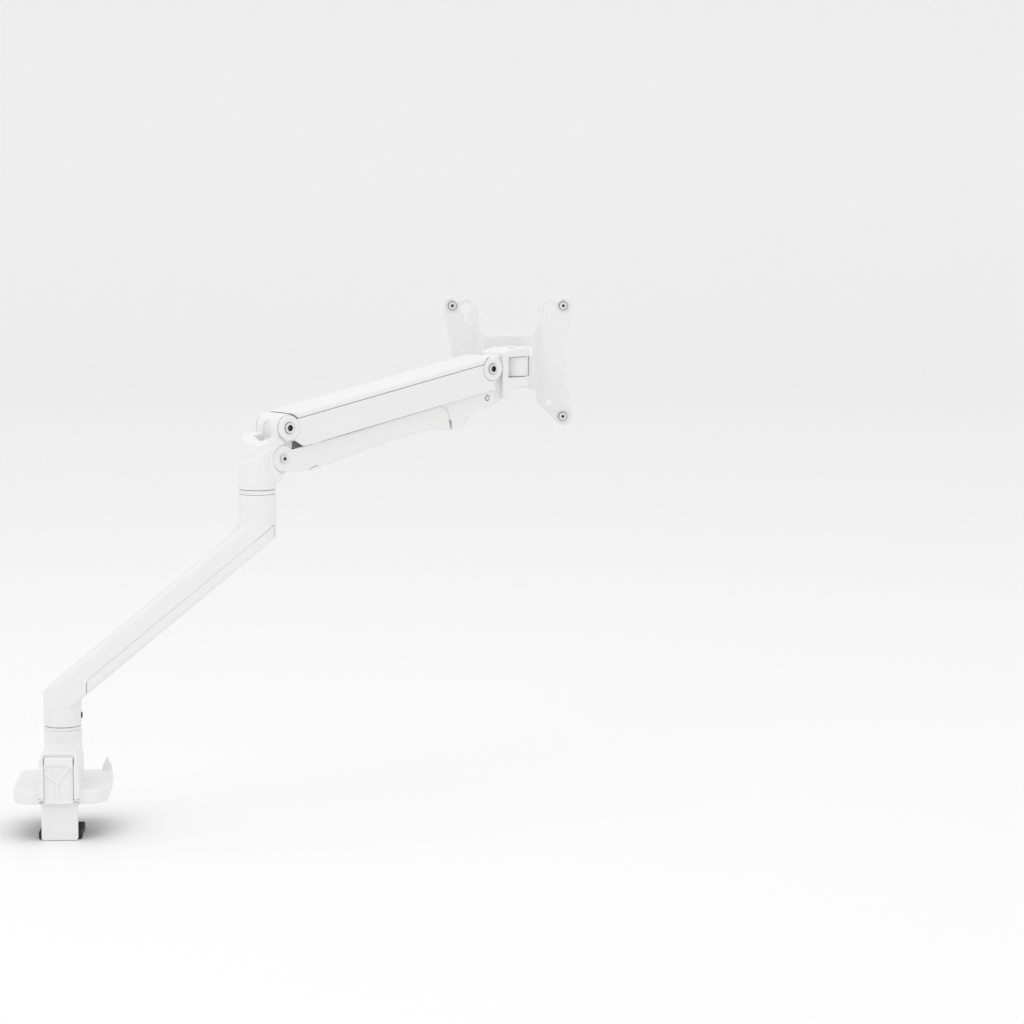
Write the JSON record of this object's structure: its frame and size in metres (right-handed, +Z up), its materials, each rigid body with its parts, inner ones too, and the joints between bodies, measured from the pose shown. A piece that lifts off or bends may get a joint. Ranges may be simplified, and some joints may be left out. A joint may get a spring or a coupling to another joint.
{
  "type": "monitor arm",
  "caption": "White desk-clamp monitor arm: swivelling lower arm, spring-balanced parallelogram upper arm, and a pan, tilt and roll head with a square-pattern monitor plate.",
  "frame": {"origin": "on the underside of the foot's rubber pad, where it rests on the desk, on the axis of the post", "axes": "+Z up along the post; +X the way the lower arm points at rest; +Y from the desk's edge inward, so the jaw and lever face -Y; the monitor plate faces +Y at rest"},
  "size_m": [0.4829, 0.2854, 0.433],
  "materials": {
    "white_paint": "satin white powder coat",
    "white_plastic": "matte white moulded plastic",
    "zinc": "zinc-plated",
    "dark_steel": "black oxide",
    "black_rubber": "matte"
  },
  "bodies": {
    "clamp": {"clamp_body": "white_paint", "foot_pad": "black_rubber", "post_spindle": "zinc", "base_ring": "white_plastic", "lever_pin": "zinc"},
    "jaw": {"jaw_bracket": "white_paint", "jaw_block": "black_rubber"},
    "lever": {"clamp_lever": "white_paint"},
    "lower_arm": {"lower_arm": "white_paint", "lower_cable_cover": "white_plastic", "collar_set_screw": "dark_steel", "base_bush": "white_plastic", "elbow_bush": "white_plastic"},
    "knuckle": {"knuckle": "white_paint", "elbow_spindle": "zinc", "elbow_ring": "white_plastic"},
    "upper_link": {"upper_link": "white_paint", "upper_top_cover": "white_plastic", "lift_axle": "zinc", "lift_cap_near": "white_plastic", "lift_cap_far": "white_plastic", "lift_screw_near": "zinc", "lift_screw_far": "zinc", "wrist_axle": "zinc", "wrist_cap_near": "white_plastic", "wrist_cap_far": "white_plastic", "wrist_screw_near": "zinc", "wrist_screw_far": "zinc", "counter_spring": "dark_steel", "spring_rod": "zinc", "spring_seat": "dark_steel", "spring_slider": "dark_steel"},
    "lower_link": {"lower_link": "white_paint", "cable_trough_cover": "white_plastic", "lower_axle": "zinc", "lower_screw_near": "zinc", "lower_screw_far": "zinc", "wrist_pin_near": "zinc", "wrist_pin_far": "zinc"},
    "wrist": {"wrist_link": "white_paint", "pan_pin": "zinc"},
    "pan_head": {"pan_barrel": "white_paint"},
    "tilt_head": {"tilt_bracket": "white_paint", "tilt_washer_left": "dark_steel", "tilt_washer_right": "dark_steel", "tilt_friction_disc": "zinc", "tilt_bolt": "zinc", "tilt_nut": "zinc", "tilt_cap": "white_plastic", "roll_washer": "white_plastic"},
    "plate": {"vesa_plate": "white_paint", "roll_screw": "zinc", "vesa_screw_upper_left": "zinc", "vesa_screw_upper_right": "zinc", "vesa_screw_lower_left": "zinc", "vesa_screw_lower_right": "zinc"}
  },
  "joints": [
    {"name": "jaw_slide", "type": "slide", "parent": "clamp", "child": "jaw", "axis": [0, 0, 1], "range_m": [-0.017, 0.013]},
    {"name": "lever_swing", "type": "hinge", "parent": "clamp", "child": "lever", "pos_m": [0, -0.0494, 0.0046], "axis": [1, 0, 0], "range_deg": [0, 80]},
    {"name": "base_swivel", "type": "hinge", "parent": "clamp", "child": "lower_arm", "pos_m": [0, 0, 0.0575], "axis": [0, 0, 1], "range_deg": [-90, 90]},
    {"name": "elbow_swivel", "type": "hinge", "parent": "lower_arm", "child": "knuckle", "pos_m": [0.163, 0, 0.254], "axis": [0, 0, 1], "range_deg": [-127, 53]},
    {"name": "lift", "type": "hinge", "parent": "knuckle", "child": "upper_link", "pos_m": [0.17977, 0.01264, 0.3066], "axis": [0.6018, -0.7986, 0], "range_deg": [-40, 28]},
    {"name": "lower_link_swing", "type": "hinge", "parent": "knuckle", "child": "lower_link", "pos_m": [0.17682, 0.01041, 0.2811], "axis": [0.6018, -0.7986, 0], "range_deg": [-40, 28]},
    {"name": "wrist_level", "type": "hinge", "parent": "upper_link", "child": "wrist", "pos_m": [0.35595, 0.1454, 0.3455], "axis": [0.6018, -0.7986, 0], "range_deg": [-28, 40]},
    {"name": "pan", "type": "hinge", "parent": "wrist", "child": "pan_head", "pos_m": [0.3847, 0.16706, 0.3455], "axis": [0, 0, 1], "range_deg": [-130, 31]},
    {"name": "tilt", "type": "hinge", "parent": "pan_head", "child": "tilt_head", "pos_m": [0.3847, 0.19406, 0.3455], "axis": [1, 0, 0], "range_deg": [-30, 60]},
    {"name": "roll", "type": "hinge", "parent": "tilt_head", "child": "plate", "pos_m": [0.3847, 0.21356, 0.3455], "axis": [0, 1, 0], "range_deg": [-90, 90]}
  ],
  "couplings": [
    {"joint": "lower_link_swing", "follows": "lift", "ratio": 1},
    {"joint": "wrist_level", "follows": "lift", "ratio": -1}
  ]
}
